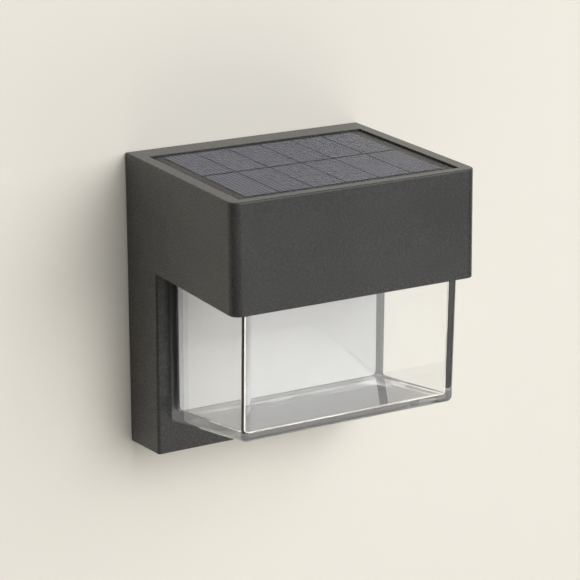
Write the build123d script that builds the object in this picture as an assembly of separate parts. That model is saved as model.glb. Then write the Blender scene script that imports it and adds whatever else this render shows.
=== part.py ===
from build123d import *
import os
from math import radians, sqrt, tan

# Solar wall light: an inverted-L housing with a solar panel on top and a clear box lens under its head.
# Millimetres. X to the right seen from the front, +Y into the wall, +Z up.
# The origin is on the wall, at the middle of the bracket's two screw holes. The wall is the plane Y = 0.

# Housing
body_width = 132.0
head_depth = 111.0  # wall to the front of the head, at its top edge
head_height = 53.7
front_draft = 1.3  # degrees: the head is deeper at its lower edge
plate_depth = 31.6  # wall plate under the head
body_height = 147.6  # top to the front edge of the plate's underside
underside_slope = 5.4  # degrees: the plate is lower at the wall
mount_drop = 75.0  # top to the middle of the bracket
wall = 2.8
wall_gap = 0.3  # housing rim to the wall, so that the lamp can slide up
head_corner_radius = 5.0
plate_corner_radius = 1.5
top_edge_radius = 0.9

# Solar panel, let into the top of the head
panel_side_rim = 6.6
panel_front_rim = 5.5
panel_back_rim = 13.6
panel_gap = 1.1  # all round, between panel and recess
panel_sink = 0.2  # glass below the rim
glass_thickness = 0.5
cell_thickness = 0.2
ribbon_thickness = 0.1
ribbon_width = 1.2
backsheet_thickness = 2.0
panel_seal_thickness = 1.6
panel_ledge_width = 4.0
panel_ledge_thickness = 2.2
cell_columns = 6
cell_rows = 2
cell_side_border = 5.2  # cells to the left and right edges of the glass
cell_front_border = 4.2
cell_back_border = 1.2
cell_gap = 0.6
cell_row_gap = 1.8

# Clear lens under the head
lens_side_inset = 7.4
lens_front_inset = 4.0
lens_back_gap = 0.15
lens_drop = 64.0  # head to the front edge of the lens's underside
lens_front_draft = 1.3  # degrees, inwards going down
lens_under_slope = 10.7  # degrees, the underside rises towards the front
lens_floor_slope = 8.7  # degrees, the same for the floor inside
lens_wall = 3.5
lens_floor = 4.0  # at the front
lens_neck_step = 1.5  # the neck that enters the head is this much smaller all round
lens_seal_width = 1.0
lens_outer_radius = 1.6
lens_inner_radius = 2.4

# White parts above and behind the lens
carrier_thickness = 2.2
carrier_lift = 5.0  # height of the bosses that it stands on
carrier_edge_gap = 0.2
carrier_ledge_cover = 2.0  # overlap of the carrier on the ledge at the back
carrier_screw_inset = 5.0  # screws to its front and back edges
skirt_thickness = 1.8
skirt_gap = 0.4
reflector_thickness = 2.5
reflector_gap = 0.2

# LED board
led_board_margin = 9.0  # to the skirt, at each end
led_board_depth = 24.0
led_board_thickness = 1.6
led_columns = 6
led_rows = 2
led_length = 3.5
led_width = 2.8
led_height = 0.8
led_pitch_y = 12.0

# Battery, a standard round cell
battery_radius = 9.15
battery_length = 65.0
battery_round = 0.5
battery_offset = 60.0  # wall to its axis
cradle_wall = 1.6
cradle_gap = 0.25
cradle_ear = 6.0
cradle_ear_thickness = 1.6
cradle_mouth = 5.0  # height of the clip's lips above the axis
tab_width = 6.0
tab_height = 8.0
tab_thickness = 0.2

# Rear cover and its seal
bracket_space = 6.0  # wall to the cover
cover_thickness = 2.5
cover_gap = 0.3
rear_seal_thickness = 1.0
rear_ledge_width = 3.0
rear_ledge_thickness = 2.0
rear_seal_inset = 0.3
boss_radius = 3.4
boss_inset = 7.4  # boss axis to the side wall
boss_top_inset = 8.2  # boss axis to the inside of the top
boss_low_inset = 10.0  # boss axis to the inside of the bottom
boss_length = 20.0
web_thickness = 2.4

# Wall bracket
screw_spacing = 60.0
wall_hole_radius = 2.25
bracket_thickness = 1.5
bracket_height = 40.0
hook_inset = 20.2  # hook to the inside of the housing's side wall
hook_stem = 5.0
hook_lip = 7.0
hook_lip_depth = 2.0
hook_clearance = 0.6
hook_rest_gap = 0.2
hook_height = -4.0  # underside of the hook's stem
lift_travel = 8.0
pocket_wall = 1.2
pocket_play = 0.75

# Control board in the plate
board_width = 64.0
board_height = 40.0
board_thickness = 1.6
board_standoff = 4.0
board_boss_inset = 4.0
connector_width = 7.5
connector_depth = 5.0
connector_height = 6.0
connector_pitch = 20.0
connector_drop = 2.0  # from the board's top edge
parts_height = 18.0  # row of parts above the board's lower edge
controller_chip = (5.0, 6.2, 1.5)  # width, height, depth
driver_chip = (3.0, 3.0, 1.2)
parts_pitch = 12.0
capacitor_radius = 3.2
capacitor_depth = 7.0
capacitor_round = 0.5
coil_size = 6.0
coil_depth = 3.0
coil_round = 1.2

# Switch and button
switch_size = 8.5
switch_height = 8.0
switch_overhang = 0.4  # below the board's lower edge
plunger_size = 3.0
plunger_play = 0.3
plunger_length = 4.5
plunger_inside = 1.0
button_travel = 1.5
button_radius = 5.0
button_clearance = 0.3
button_stand_out = 1.2  # below the underside, on its axis
button_round = 0.6
button_flange = 1.5
button_stem_radius = 3.0
button_bush_radius = 7.2
button_bush_height = 2.0  # above the inside of the bottom wall, on its axis
button_seal_thickness = 1.0
boot_wall = 1.2  # wall of the seal round the flange
button_rest_gap = 0.2

# Screws and leads
screw_clearance = 0.1
head_round_share = 0.4  # of a screw head's height
drive_share = 0.5  # of a screw head's size
small_screw_radius = 1.15
small_head_radius = 2.0
small_head_height = 1.4
carrier_screw_length = 6.5
board_screw_length = 5.0
short_screw_length = 3.6
small_boss_radius = 2.2
cover_screw_radius = 1.4
cover_head_radius = 2.7
cover_head_height = 1.8
cover_screw_length = 9.0
lead_radius = 0.6
lead_pitch = 2.5
lead_bend = 4.0
lead_reach = 6.0  # battery leads beyond the cradle
lead_rise = 6.4  # LED leads above the carrier
lead_stagger = 0.72  # LED leads to the middle of their bush
lead_pad_inset = 1.5  # LED leads onto the end of their board
battery_lead_drop = 8.0  # below the head, where the leads turn down to the board
led_lead_drop = 12.0
grommet_radius = 3.6
grommet_bore = 2.4
grommet_lip = 0.8
grommet_gap = 0.6  # to the ear of the cradle

# Shared by cuts and small fillets
past = 1.0  # how far a cut runs past a face
least_radius = 0.5

# Heights and depths that several pieces share
z_top = mount_drop
z_head = z_top - head_height
z_plate_front = z_top - body_height
half_width = body_width / 2
half_cavity = half_width - wall
head_front_low = head_depth + head_height * tan(radians(front_draft))
z_ledge = z_head + wall
recess_depth = (panel_sink + glass_thickness + ribbon_thickness + cell_thickness
                + backsheet_thickness + panel_seal_thickness)
z_recess = z_top - recess_depth
z_ceiling = z_recess - panel_ledge_thickness
plate_inner = -(plate_depth - wall)
cover_back = -bracket_space
cover_front = cover_back - cover_thickness
ledge_back = cover_front - rear_seal_thickness

lens_half = half_width - lens_side_inset
lens_front = -(head_front_low - lens_front_inset)
lens_back = -(plate_depth + lens_back_gap)
lens_front_low = lens_front + lens_drop * tan(radians(lens_front_draft))
z_lens_front = z_head - lens_drop
lens_in_half = lens_half - lens_wall
lens_in_front = lens_front + lens_wall
lens_in_back = lens_back - lens_wall
neck_half = lens_half - lens_neck_step
neck_front = lens_front + lens_neck_step
neck_back = lens_back - lens_neck_step

reflector_back = lens_in_back - reflector_gap
reflector_front = reflector_back - reflector_thickness
skirt_half = lens_in_half - skirt_gap
skirt_front = lens_in_front + skirt_gap
skirt_back = reflector_front - reflector_gap
z_carrier = z_ledge + carrier_lift
z_carrier_top = z_carrier + carrier_thickness
carrier_boss_x = neck_half + lens_seal_width + carrier_edge_gap + small_boss_radius
carrier_half = carrier_boss_x + small_head_radius
carrier_front = neck_front - lens_seal_width - carrier_edge_gap
carrier_back = neck_back + lens_seal_width + carrier_ledge_cover
led_board_half = skirt_half - skirt_thickness - led_board_margin
led_board_y = (skirt_front + skirt_back) / 2
z_led_board = z_carrier - led_board_thickness

battery_y = -battery_offset
cradle_outer = battery_radius + cradle_gap + cradle_wall
battery_z = z_carrier_top + cradle_outer
cradle_half = battery_length / 2 + tab_thickness + cradle_gap + cradle_wall

boss_x = half_cavity - boss_inset
hook_x = half_cavity - hook_inset
board_front = plate_inner + board_standoff
board_back = board_front + board_thickness
button_y = board_back + switch_size / 2
flange_radius = button_bush_radius - boot_wall - button_clearance


def underside(y):
    """Height of the plate's sloping underside."""
    return z_plate_front - (plate_depth + y) * tan(radians(underside_slope))


def lens_under(y):
    """Height of the lens's underside, which rises towards the front."""
    return z_lens_front - (y - lens_front_low) * tan(radians(lens_under_slope))


def lens_inside(y):
    """Height of the floor inside the lens."""
    return z_lens_front + lens_floor - (y - lens_front_low) * tan(radians(lens_floor_slope))


z_button = underside(button_y) - button_stand_out
z_bush_top = underside(button_y) + wall + button_bush_height
z_flange = z_bush_top + button_seal_thickness + button_rest_gap
z_stem_top = z_flange + button_flange + button_travel
z_switch = z_stem_top + plunger_length - plunger_inside
z_board = z_switch + switch_overhang
z_board_top = z_board + board_height
z_connector = z_board_top - connector_drop - connector_height
connector_y = board_back + connector_depth / 2


def block(x0, x1, y0, y1, z0, z1):
    """Box between two corners."""
    return Pos((x0 + x1) / 2, (y0 + y1) / 2, (z0 + z1) / 2) * Box(x1 - x0, y1 - y0, z1 - z0)


def slab(half, y0, y1, z0, z1):
    """Box that is centred on X = 0."""
    return block(-half, half, y0, y1, z0, z1)


def profile(points, half):
    """Outline in Y and Z, extruded to both sides of X = 0."""
    return extrude(make_face(Plane.YZ * Polyline(*points, close=True)), half, both=True)


def rod_y(x, z, radius, y0, y1):
    """Round bar along Y."""
    return Pos(x, (y0 + y1) / 2, z) * Rot(90, 0, 0) * Cylinder(radius, abs(y1 - y0))


def rod_z(x, y, radius, z0, z1):
    """Round bar along Z."""
    return Pos(x, y, (z0 + z1) / 2) * Cylinder(radius, abs(z1 - z0))


def side_edges(shape, half, wanted):
    """Edges in the two end planes X = -half and X = half whose middle is wanted(y, z)."""
    return [e for e in shape.edges()
            if abs(abs(e.center().X) - half) < 1e-6 and wanted(e.center().Y, e.center().Z)]


def cross_edges(shape, wanted):
    """Edges along X whose middle is wanted(y, z)."""
    return [e for e in shape.edges().filter_by(Axis.X) if wanted(e.center().Y, e.center().Z)]


def screw(radius, length, head_radius, head_height):
    """Pan-head screw: the head stands on Z = 0 and the shank points down."""
    head = Pos(0, 0, head_height / 2) * Cylinder(head_radius, head_height)
    head = fillet(head.edges().group_by(Axis.Z)[-1], head_height * head_round_share)
    socket = extrude(RegularPolygon(head_radius * drive_share, 6), -head_height * drive_share)
    drive = Pos(0, 0, head_height) * socket
    return head + Pos(0, 0, -length / 2) * Cylinder(radius, length) - drive


def small_screw(length):
    """Self-tapping screw for boards and the carrier."""
    return screw(small_screw_radius, length, small_head_radius, small_head_height)


# Places of the fasteners
z_boss_top = z_ceiling - boss_top_inset
z_boss_low = underside(plate_inner) + wall + boss_low_inset
boss_heights = (z_boss_top, (z_boss_top + z_boss_low) / 2, z_boss_low)
cover_screw_places = [(side * boss_x, z) for z in boss_heights for side in (-1, 1)]
carrier_screw_ys = (carrier_front + carrier_screw_inset, carrier_back - carrier_screw_inset)
carrier_screw_places = [(side * carrier_boss_x, y) for y in carrier_screw_ys for side in (-1, 1)]
board_screw_places = [(side * (board_width / 2 - board_boss_inset), z)
                      for z in (z_board + board_boss_inset, z_board_top - board_boss_inset)
                      for side in (-1, 1)]
led_screw_places = [(side * (led_board_half - board_boss_inset), led_board_y) for side in (-1, 1)]
cradle_screw_places = [(side * (cradle_half + cradle_ear / 2), battery_y) for side in (-1, 1)]


def make_housing():
    """Inverted-L shell, open at the back, with its ledges and screw bosses."""
    rear = -wall_gap
    shell = profile([(rear, z_top), (-head_depth, z_top), (-head_front_low, z_head), (-plate_depth, z_head),
                     (-plate_depth, z_plate_front), (rear, underside(rear))], half_width)

    def at_front(y, z):
        return y < -head_depth + 2 * wall

    shell = fillet(side_edges(shell, half_width, at_front), head_corner_radius)
    plate_corners = side_edges(shell, half_width, lambda y, z: abs(y + plate_depth) < 1e-6 and z < z_head)
    shell = fillet(plate_corners, plate_corner_radius)
    top_rim = [e for e in shell.edges().group_by(Axis.Z)[-1] if e.center().Y < rear - 1e-6]
    shell = fillet(top_rim, top_edge_radius)

    def front_inside(z):
        return -(head_depth + (z_top - z) * tan(radians(front_draft)) - wall)

    bottom = underside(plate_inner) + wall
    bottom_rear = underside(wall) + wall
    cavity = profile([(wall, z_ceiling), (front_inside(z_ceiling), z_ceiling),
                      (front_inside(z_ledge), z_ledge), (plate_inner, z_ledge),
                      (plate_inner, bottom), (wall, bottom_rear)], half_cavity)
    inner_radius = max(head_corner_radius - wall, least_radius)
    shell -= fillet(side_edges(cavity, half_cavity, at_front), inner_radius)

    shell -= slab(half_width - panel_side_rim, -head_depth + panel_front_rim, -panel_back_rim,
                  z_recess, z_top + past)
    shell -= slab(half_width - panel_side_rim - panel_ledge_width,
                  -head_depth + panel_front_rim + panel_ledge_width,
                  -panel_back_rim - panel_ledge_width, z_ceiling - past, z_top)
    shell -= slab(neck_half + lens_seal_width, neck_front - lens_seal_width, neck_back + lens_seal_width,
                  z_head - past, z_ledge + past)

    ledge_front = ledge_back - rear_ledge_thickness
    ledge_low = underside(ledge_front) + wall
    ledge = slab(half_width - wall / 2, ledge_front, ledge_back, ledge_low - wall / 2, z_ceiling + wall / 2)
    ledge -= slab(half_cavity - rear_ledge_width, ledge_front - past, ledge_back + past,
                  ledge_low + rear_ledge_width, z_ceiling - rear_ledge_width)
    shell += ledge

    for x, z in cover_screw_places:
        in_plate = z < z_head
        boss_end = plate_inner - wall / 2 if in_plate else cover_front - boss_length
        side = 1 if x > 0 else -1
        shell += rod_y(x, z, boss_radius, boss_end, cover_front)
        web_x = sorted((x, side * (half_cavity + wall / 2)))
        shell += block(*web_x, boss_end, ledge_front, z - web_thickness / 2, z + web_thickness / 2)
    for x, z in cover_screw_places:
        shell -= rod_y(x, z, cover_screw_radius + screw_clearance,
                       cover_front - cover_screw_length, cover_front + past)

    for x, y in carrier_screw_places:
        side_wall = (half_cavity + wall / 2) * (1 if x > 0 else -1)
        shell += rod_z(x, y, small_boss_radius, z_ledge - wall / 2, z_carrier)
        shell += block(*sorted((x, side_wall)), y - small_boss_radius, y + small_boss_radius,
                       z_ledge - wall / 2, z_carrier)
        shell -= rod_z(x, y, small_screw_radius + screw_clearance, z_ledge - wall / 2, z_carrier + past)
    for x, z in board_screw_places:
        shell += rod_y(x, z, small_boss_radius, plate_inner - wall / 2, board_front)
        shell -= rod_y(x, z, small_screw_radius + screw_clearance, plate_inner, board_front + past)

    shell += rod_z(0, button_y, button_bush_radius, underside(button_y) + wall / 2, z_bush_top)
    shell -= rod_z(0, button_y, button_radius + button_clearance, underside(0) - past, z_bush_top + past)
    return shell


def lens_hollow(clearance, top):
    """The space inside the lens, drawn in by a clearance and rounded as the lens is."""
    front = lens_in_front + clearance
    back = lens_in_back - clearance
    front_low = front + (z_head - lens_inside(front)) * tan(radians(lens_front_draft))
    half = lens_in_half - clearance
    space = profile([(back, top), (front, top), (front, z_head),
                     (front_low, lens_inside(front_low) + clearance),
                     (back, lens_inside(back) + clearance)], half)
    rounded = side_edges(space, half, lambda y, z: z < top - 1e-6)
    rounded += cross_edges(space, lambda y, z: z < (z_lens_front + z_head) / 2)
    return fillet(rounded, lens_inner_radius)


def make_lens():
    """Clear box, open at the top, with a neck that enters the head."""
    body = profile([(lens_back, z_head), (lens_front, z_head), (lens_front_low, z_lens_front),
                    (lens_back, lens_under(lens_back))], lens_half)
    edges = side_edges(body, lens_half, lambda y, z: z < z_head - 1e-6 and y < lens_back - 1e-6)
    edges += cross_edges(body, lambda y, z: z < z_head - 1e-6 and y < lens_back - 1e-6)
    body = fillet(edges, lens_outer_radius)
    body += slab(neck_half, neck_front, neck_back, z_head - lens_wall, z_ledge)
    return body - lens_hollow(0, z_carrier)


def make_frame_seal(half, y0, y1, width, z0, z1):
    """Flat rectangular ring."""
    return slab(half, y0, y1, z0, z1) - slab(half - width, y0 + width, y1 - width, z0 - past, z1 + past)


def make_panel():
    """Glass, cells, the ribbons under them, backsheet and the seal that the panel is bedded on."""
    half = half_width - panel_side_rim - panel_gap
    front = -head_depth + panel_front_rim + panel_gap
    back = -panel_back_rim - panel_gap
    z_seal = z_recess + panel_seal_thickness
    z_ribbons = z_seal + backsheet_thickness
    z_cells = z_ribbons + ribbon_thickness
    z_glass = z_cells + cell_thickness
    glass = slab(half, front, back, z_glass, z_glass + glass_thickness)
    glass = fillet(glass.edges().filter_by(Axis.Z), panel_gap)
    backsheet = slab(half, front, back, z_seal, z_ribbons)
    backsheet = fillet(backsheet.edges().filter_by(Axis.Z), panel_gap)
    seal = make_frame_seal(half, front, back, panel_ledge_width - panel_gap, z_recess, z_seal)

    pitch_x = (2 * (half - cell_side_border) + cell_gap) / cell_columns
    pitch_y = (back - front - cell_front_border - cell_back_border + cell_row_gap) / cell_rows
    cells = []
    ribbons = []
    for row in range(cell_rows):
        y = front + cell_front_border + row * pitch_y
        y_end = y + pitch_y - cell_row_gap
        for column in range(cell_columns):
            x = -half + cell_side_border + column * pitch_x
            cells.append(block(x, x + pitch_x - cell_gap, y, y_end, z_cells, z_glass))
        middle = (y + y_end) / 2
        ribbons.append(slab(half - cell_side_border, middle - ribbon_width / 2, middle + ribbon_width / 2,
                            z_ribbons, z_cells))
    return {"solar_glass": glass, "solar_cells": Compound(cells), "cell_ribbons": Compound(ribbons),
            "solar_backsheet": backsheet, "panel_seal": seal}


def make_carrier():
    """White ceiling of the lens: a plate on four bosses, with a skirt down into the neck."""
    carrier = slab(carrier_half, carrier_front, carrier_back, z_carrier, z_carrier_top)
    skirt = lens_hollow(skirt_gap, z_carrier) & slab(skirt_half, skirt_front, skirt_back, z_head, z_carrier)
    skirt -= slab(skirt_half - skirt_thickness, skirt_front + skirt_thickness, skirt_back - skirt_thickness,
                  z_head - past, z_carrier)
    carrier += skirt
    for x, y in carrier_screw_places + led_screw_places + cradle_screw_places:
        carrier -= rod_z(x, y, small_screw_radius + screw_clearance, z_carrier - past, z_carrier_top + past)
    grommet_x, grommet_y = grommet_place
    carrier -= rod_z(grommet_x, grommet_y, grommet_radius, z_carrier - past, z_carrier_top + past)
    return carrier


def make_reflector():
    """Glossy white panel that stands at the back of the lens."""
    z_reflector_top = z_carrier - reflector_gap
    return (lens_hollow(reflector_gap, z_reflector_top)
            & slab(lens_in_half, reflector_front, reflector_back, z_lens_front - lens_drop, z_reflector_top))


def make_led_board():
    """Metal-core board under the carrier, and its LEDs."""
    half_depth = led_board_depth / 2
    board = slab(led_board_half, led_board_y - half_depth, led_board_y + half_depth, z_led_board, z_carrier)
    for x, y in led_screw_places:
        board -= rod_z(x, y, small_screw_radius + screw_clearance, z_led_board - past, z_carrier + past)
    pitch = 2 * (led_board_half - 2 * board_boss_inset) / led_columns
    leds = []
    for row in range(led_rows):
        y = led_board_y + (row - (led_rows - 1) / 2) * led_pitch_y
        for column in range(led_columns):
            x = (column - (led_columns - 1) / 2) * pitch
            leds.append(block(x - led_length / 2, x + led_length / 2, y - led_width / 2, y + led_width / 2,
                              z_led_board - led_height, z_led_board))
    return board, Compound(leds)


def make_battery():
    """Round cell, its clip-in cradle on the carrier, and the tabs welded to its ends."""
    def along_x(radius, half):
        return Pos(0, battery_y, battery_z) * Rot(0, 90, 0) * Cylinder(radius, 2 * half)

    cell = along_x(battery_radius, battery_length / 2)
    cell = fillet(cell.edges(), battery_round)
    cradle = along_x(cradle_outer, cradle_half)
    cradle += slab(cradle_half, battery_y - cradle_outer, battery_y + cradle_outer, z_carrier_top, battery_z)
    cradle -= along_x(battery_radius + cradle_gap, cradle_half - cradle_wall)
    cradle -= slab(cradle_half + past, battery_y - cradle_outer - past, battery_y + cradle_outer + past,
                   battery_z + cradle_mouth, battery_z + cradle_outer + past)
    cradle -= slab(cradle_half + past, battery_y - tab_width, battery_y + tab_width,
                   battery_z - tab_height / 2, battery_z + cradle_outer)
    for x, y in cradle_screw_places:
        cradle += block(x - cradle_ear / 2, x + cradle_ear / 2, y - cradle_ear / 2, y + cradle_ear / 2,
                        z_carrier_top, z_carrier_top + cradle_ear_thickness)
        cradle -= rod_z(x, y, small_screw_radius + screw_clearance, z_carrier_top - past, battery_z)
    tabs = []
    for side in (-1, 1):
        x = sorted((side * battery_length / 2, side * (battery_length / 2 + tab_thickness)))
        tabs.append(block(*x, battery_y - tab_width / 2, battery_y + tab_width / 2,
                          battery_z - tab_height / 2, battery_z + tab_height / 2))
    return cell, cradle, Compound(tabs)


def make_rear_cover():
    """Plate that closes the back, with a blind pocket for each hook of the bracket."""
    low = underside(cover_front) + wall + cover_gap
    cover = slab(half_cavity - cover_gap, cover_front, cover_back, low, z_ceiling - cover_gap)
    for x, z in cover_screw_places:
        cover -= rod_y(x, z, cover_screw_radius + screw_clearance, cover_front - past, cover_back + past)
    half_slot = bracket_thickness / 2 + pocket_play
    lip_front = cover_front - hook_clearance - hook_lip_depth - hook_clearance
    slot_low = hook_height - lift_travel - hook_clearance
    slot_top = hook_height + hook_stem + hook_rest_gap
    pocket_top = hook_height + hook_stem + hook_lip + hook_clearance
    for x in (-hook_x, hook_x):
        cover += block(x - half_slot - pocket_wall, x + half_slot + pocket_wall, lip_front - pocket_wall,
                       cover_front, slot_low - pocket_wall, pocket_top + pocket_wall)
        side = (x - half_slot, x + half_slot)
        cover -= block(*side, lip_front, cover_front, slot_low, pocket_top)
        cover -= block(*side, cover_front - past, cover_back + past, slot_low, slot_top)
    return cover


def make_rear_seal():
    """Flat ring between the rear cover and the housing's ledge."""
    half = half_cavity - rear_seal_inset
    width = rear_ledge_width - 2 * rear_seal_inset
    low = underside(ledge_back) + wall + rear_seal_inset
    top = z_ceiling - rear_seal_inset
    ring = slab(half, ledge_back, cover_front, low, top)
    return ring - slab(half - width, ledge_back - past, cover_front + past, low + width, top - width)


def make_bracket():
    """Pressed steel plate with two screw holes and a hook bent forward at each side."""
    half = hook_x + bracket_thickness / 2
    plate = slab(half, -bracket_thickness, 0, -bracket_height / 2, bracket_height / 2)
    plate = fillet(plate.edges().filter_by(Axis.Y), bracket_thickness)
    for x in (-screw_spacing / 2, screw_spacing / 2):
        plate -= rod_y(x, 0, wall_hole_radius, -bracket_thickness - past, past)
    lip_back = cover_front - hook_clearance
    lip_front = lip_back - hook_lip_depth
    stem_top = hook_height + hook_stem
    for x in (-hook_x, hook_x):
        side = (x - bracket_thickness / 2, x + bracket_thickness / 2)
        plate += block(*side, lip_front, -bracket_thickness / 2, hook_height, stem_top)
        plate += block(*side, lip_front, lip_back, hook_height, stem_top + hook_lip)
    return plate


def make_control_board():
    """Board in the plate, with its chips, capacitor, coil and connectors on the side to the wall."""
    board = slab(board_width / 2, board_front, board_back, z_board, z_board_top)
    for x, z in board_screw_places:
        board -= rod_y(x, z, small_screw_radius + screw_clearance, board_front - past, board_back + past)

    def part(x, z, width, height, depth):
        return block(x - width / 2, x + width / 2, board_back, board_back + depth,
                     z - height / 2, z + height / 2)

    z_parts = z_board + parts_height
    chips = Compound([part(-parts_pitch, z_parts, *controller_chip),
                      part(parts_pitch, z_parts, *driver_chip)])
    capacitor = rod_y(2 * parts_pitch, z_parts, capacitor_radius, board_back, board_back + capacitor_depth)
    capacitor = fillet(capacitor.edges().group_by(Axis.Y)[-1], capacitor_round)
    coil = part(0, z_parts, coil_size, coil_size, coil_depth)
    coil = fillet(coil.edges().filter_by(Axis.Y), coil_round)
    z_plug = z_connector + connector_height / 2
    connectors = [part(x, z_plug, connector_width, connector_height, connector_depth) for x in connector_xs]
    return {"control_board": board, "board_chips": chips, "board_capacitor": capacitor, "boost_coil": coil,
            "board_connectors": Compound(connectors)}


def make_switch():
    """Latching push switch on the board, its plunger, the button under it and the boot round both."""
    half = switch_size / 2
    body = block(-half, half, board_back, board_back + switch_size, z_switch, z_switch + switch_height)
    half_hole = plunger_size / 2 + plunger_play
    hole_top = z_switch + plunger_inside + button_travel + plunger_play
    body -= block(-half_hole, half_hole, button_y - half_hole, button_y + half_hole,
                  z_switch - past, hole_top)
    half_plunger = plunger_size / 2
    plunger = block(-half_plunger, half_plunger, button_y - half_plunger, button_y + half_plunger,
                    z_stem_top, z_stem_top + plunger_length)

    cap = rod_z(0, button_y, button_radius, z_button, z_flange)
    cap = fillet(cap.edges().group_by(Axis.Z)[0], button_round)
    cap += rod_z(0, button_y, flange_radius, z_flange, z_flange + button_flange)
    cap += rod_z(0, button_y, button_stem_radius, z_flange, z_stem_top)
    boot = rod_z(0, button_y, button_bush_radius, z_bush_top, z_switch)
    boot -= rod_z(0, button_y, button_bush_radius - boot_wall,
                  z_bush_top + button_seal_thickness, z_switch - button_seal_thickness)
    boot -= rod_z(0, button_y, button_radius + button_clearance, z_bush_top - past, z_flange)
    boot -= rod_z(0, button_y, plunger_size / sqrt(2) + plunger_play, z_flange, z_switch + past)
    return {"push_switch": body, "switch_plunger": plunger, "power_button": cap, "button_seal": boot}


# Connectors, from the left: panel, battery, LED board
connector_xs = (-connector_pitch, 0, connector_pitch)
grommet_place = (led_board_half + led_board_margin / 2,
                 battery_y - cradle_ear / 2 - grommet_gap - grommet_lip - grommet_radius)


def lead(points):
    """Insulated wire along straight runs and arcs."""
    route = FilletPolyline(*points, radius=lead_bend)
    start = Plane(origin=route @ 0, z_dir=route % 0)
    return sweep(start * Circle(lead_radius), path=route)


def make_leads():
    """Positive and negative leads of the panel, the battery and the LED board."""
    panel_x, battery_x, led_x = connector_xs
    z_plug = z_connector + connector_height
    z_pad = z_recess + panel_seal_thickness
    behind = plate_inner + lead_pitch
    z_led = z_led_board - lead_radius - screw_clearance
    z_over = z_carrier_top + lead_rise
    grommet_x, grommet_y = grommet_place
    pairs = {"positive_leads": 1, "negative_leads": -1}
    groups = {}
    for name, sign in pairs.items():
        shift = sign * lead_pitch / 2
        x = panel_x + shift
        panel = lead([(x, connector_y, z_pad), (x, connector_y + lead_pitch, z_head),
                      (x, connector_y, z_plug)])
        end = sign * (battery_length / 2 + tab_thickness)
        out = sign * (cradle_half + lead_reach)
        battery = lead([(end, battery_y, battery_z), (out, battery_y, battery_z), (out, behind, battery_z),
                        (battery_x + shift, connector_y, z_head - battery_lead_drop),
                        (battery_x + shift, connector_y, z_plug)])
        stagger = sign * lead_stagger
        x = grommet_x + stagger
        y = grommet_y + stagger
        led = lead([(led_board_half - lead_pad_inset, y, z_led), (x, y, z_led), (x, y, z_over - stagger),
                    (x, behind, z_over - stagger), (led_x + shift, connector_y, z_head - led_lead_drop),
                    (led_x + shift, connector_y, z_plug)])
        groups[name] = Compound([panel, battery, led])
    return groups


def make_grommet():
    """Rubber bush where the LED leads pass through the carrier."""
    x, y = grommet_place
    ring = rod_z(x, y, grommet_radius, z_carrier, z_carrier_top)
    ring += rod_z(x, y, grommet_radius + grommet_lip, z_carrier_top, z_carrier_top + grommet_lip)
    return ring - rod_z(x, y, grommet_bore, z_carrier - past, z_carrier_top + grommet_lip + past)


def make_screws():
    """Groups of screws, each group of one size."""
    carrier_screw = small_screw(carrier_screw_length)
    carrier = [Pos(x, y, z_carrier_top) * carrier_screw for x, y in carrier_screw_places]
    board_screw = small_screw(board_screw_length)
    board = [Pos(x, board_back, z) * Rot(-90, 0, 0) * board_screw for x, z in board_screw_places]
    short_screw = small_screw(short_screw_length)
    short = [Pos(x, y, z_led_board) * Rot(180, 0, 0) * short_screw for x, y in led_screw_places]
    z_ear = z_carrier_top + cradle_ear_thickness
    short += [Pos(x, y, z_ear) * short_screw for x, y in cradle_screw_places]
    cover_screw = screw(cover_screw_radius, cover_screw_length, cover_head_radius, cover_head_height)
    cover = [Pos(x, cover_back, z) * Rot(-90, 0, 0) * cover_screw for x, z in cover_screw_places]
    return {"led_carrier_screws": Compound(carrier), "control_board_screws": Compound(board),
            "carrier_short_screws": Compound(short), "rear_cover_screws": Compound(cover)}


def make_all():
    """Every node by name."""
    led_board, leds = make_led_board()
    cell, cradle, tabs = make_battery()
    nodes = {
        "housing": make_housing(),
        "lens": make_lens(),
        "lens_seal": make_frame_seal(neck_half + lens_seal_width, neck_front - lens_seal_width,
                                     neck_back + lens_seal_width, lens_seal_width, z_head, z_ledge),
        "led_carrier": make_carrier(),
        "back_reflector": make_reflector(),
        "led_board": led_board,
        "leds": leds,
        "battery_cell": cell,
        "battery_cradle": cradle,
        "battery_tabs": tabs,
        "lead_grommet": make_grommet(),
        "rear_cover": make_rear_cover(),
        "rear_seal": make_rear_seal(),
        "wall_bracket": make_bracket(),
    }
    for group in (make_panel(), make_control_board(), make_switch(), make_leads(), make_screws()):
        nodes.update(group)
    return nodes


os.makedirs("parts", exist_ok=True)
for name, shape in make_all().items():
    export_step(shape, f"parts/{name}.step")
    size = shape.bounding_box().size
    print(f"{name}: {len(shape.solids())} solids, {size.X:.1f} x {size.Y:.1f} x {size.Z:.1f} mm")
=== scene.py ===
"""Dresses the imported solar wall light: smooth shells, a clear lens, a solar panel, a plain wall and floor."""
import math
from collections import namedtuple

import bmesh
import bpy
from bpy.props import FloatProperty, FloatVectorProperty, PointerProperty
from mathutils import Matrix, Quaternion, Vector


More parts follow.
